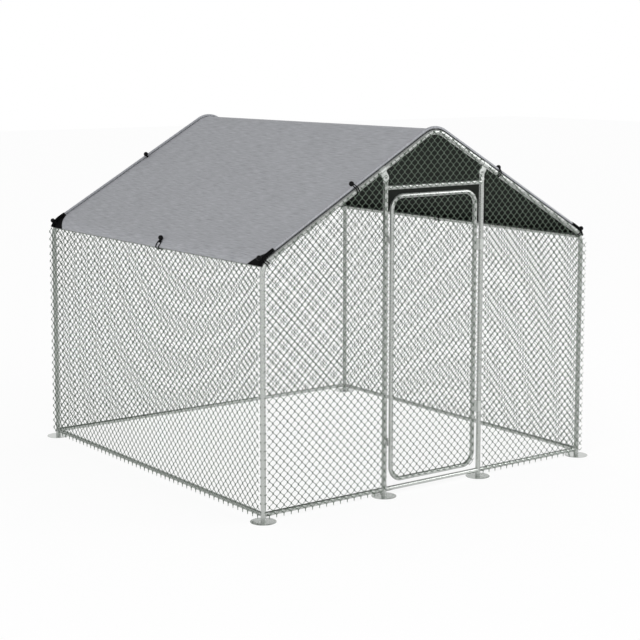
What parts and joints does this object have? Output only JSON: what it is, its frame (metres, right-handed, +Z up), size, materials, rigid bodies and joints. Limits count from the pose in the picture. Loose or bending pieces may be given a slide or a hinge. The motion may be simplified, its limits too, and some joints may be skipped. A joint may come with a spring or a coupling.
{
  "type": "walk-in poultry run",
  "caption": "Walk-in gabled poultry run of galvanised tube with wire-net walls, a hinged net door with turn latches, and a cloth roof cover held by elastic ball ties.",
  "frame": {"origin": "on the ground at the middle of the plan, level with the undersides of the foot discs", "axes": "+Z up, the door in the -Y wall, +X to the right seen from in front of the door"},
  "size_m": [2.438, 2.438, 2.0028],
  "materials": {
    "galvanised_tube": "bright galvanised, satin",
    "foot_steel": "smooth zinc plate, glossy",
    "net_wire": "galvanised wire, weathered dark",
    "band_steel": "zinc plated",
    "fitting_steel": "zinc plated, dull",
    "cover_cloth": "coated woven cloth, matt, dark green-black underneath",
    "patch_cloth": "black webbing cloth",
    "grommet_metal": "bright plated",
    "ball_plastic": "black moulded",
    "elastic_cord": "black braided elastic"
  },
  "bodies": {
    "frame": {"front_left_post": "galvanised_tube", "front_right_post": "galvanised_tube", "back_left_post": "galvanised_tube", "back_right_post": "galvanised_tube", "front_left_eave_bend": "galvanised_tube", "front_right_eave_bend": "galvanised_tube", "back_left_eave_bend": "galvanised_tube", "back_right_eave_bend": "galvanised_tube", "front_left_rafter": "galvanised_tube", "front_right_rafter": "galvanised_tube", "back_left_rafter": "galvanised_tube", "back_right_rafter": "galvanised_tube", "front_ridge_bend": "galvanised_tube", "back_ridge_bend": "galvanised_tube", "ridge_rail": "galvanised_tube", "left_eave_rail": "galvanised_tube", "right_eave_rail": "galvanised_tube", "left_bottom_rail": "galvanised_tube", "right_bottom_rail": "galvanised_tube", "back_bottom_rail": "galvanised_tube", "front_left_bottom_rail": "galvanised_tube", "front_right_bottom_rail": "galvanised_tube", "door_sill": "galvanised_tube", "left_door_post": "galvanised_tube", "right_door_post": "galvanised_tube", "lintel": "galvanised_tube", "front_left_foot": "foot_steel", "front_right_foot": "foot_steel", "back_left_foot": "foot_steel", "back_right_foot": "foot_steel", "left_door_foot": "foot_steel", "right_door_foot": "foot_steel", "left_rafter_clamp": "band_steel", "right_rafter_clamp": "band_steel", "clamp_bolts": "fitting_steel", "left_net": "net_wire", "right_net": "net_wire", "back_net": "net_wire", "front_left_net": "net_wire", "front_right_net": "net_wire", "gable_net": "net_wire", "roof_cover": "cover_cloth", "corner_patches": "patch_cloth", "grommets": "grommet_metal", "tie_balls": "ball_plastic", "tie_loops": "elastic_cord", "upper_hinge_band": "band_steel", "lower_hinge_band": "band_steel", "hinge_pins": "fitting_steel", "upper_latch_clip": "band_steel", "lower_latch_clip": "band_steel"},
    "door": {"door_top_bow": "galvanised_tube", "door_bottom_bow": "galvanised_tube", "door_joint_sleeves": "galvanised_tube", "door_net": "net_wire", "upper_hinge_leaf": "band_steel", "lower_hinge_leaf": "band_steel"},
    "upper_latch": {"upper_latch": "fitting_steel"},
    "lower_latch": {"lower_latch": "fitting_steel"}
  },
  "joints": [
    {"name": "door_swing", "type": "hinge", "parent": "frame", "child": "door", "pos_m": [0.322, -1.15, 0.87], "axis": [0, 0, 1], "range_deg": [0, 95]},
    {"name": "upper_latch_turn", "type": "hinge", "parent": "frame", "child": "upper_latch", "pos_m": [-0.338, -1.1692, 1.43601], "axis": [0, -1, 0], "range_deg": [0, 90]},
    {"name": "lower_latch_turn", "type": "hinge", "parent": "frame", "child": "lower_latch", "pos_m": [-0.338, -1.1692, 0.322], "axis": [0, -1, 0], "range_deg": [0, 90]}
  ]
}
